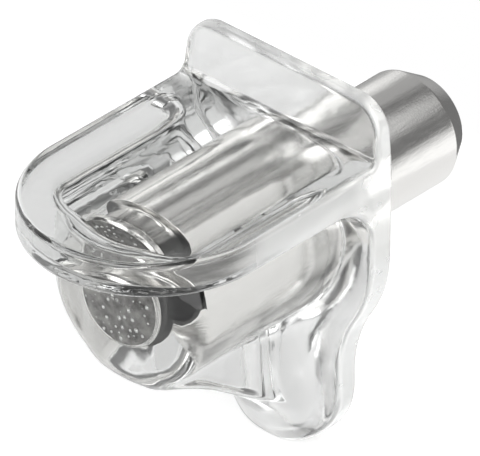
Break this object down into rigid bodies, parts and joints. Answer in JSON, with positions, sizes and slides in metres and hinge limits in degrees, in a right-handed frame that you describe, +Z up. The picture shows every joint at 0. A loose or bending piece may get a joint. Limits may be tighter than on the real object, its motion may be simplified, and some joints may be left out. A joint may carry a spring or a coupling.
{
  "type": "shelf support pin",
  "caption": "Clear moulded shelf support: flat pad with rear stop, barrel, web and leg, on a steel plug-in pin.",
  "frame": {"origin": "on the pin's axis, in the flange's rear face, which seats on the cabinet side", "axes": "+Y out along the pin's free end into the cabinet side, the pad reaches towards -Y, +Z up from the pin towards the bearing face"},
  "size_m": [0.0106, 0.0214, 0.0172],
  "materials": {
    "clear_plastic": "clear, polished mould finish",
    "plated_steel": "nickel plated, turned"
  },
  "bodies": {
    "root": {"body": "clear_plastic", "pin": "plated_steel"}
  },
  "joints": []
}
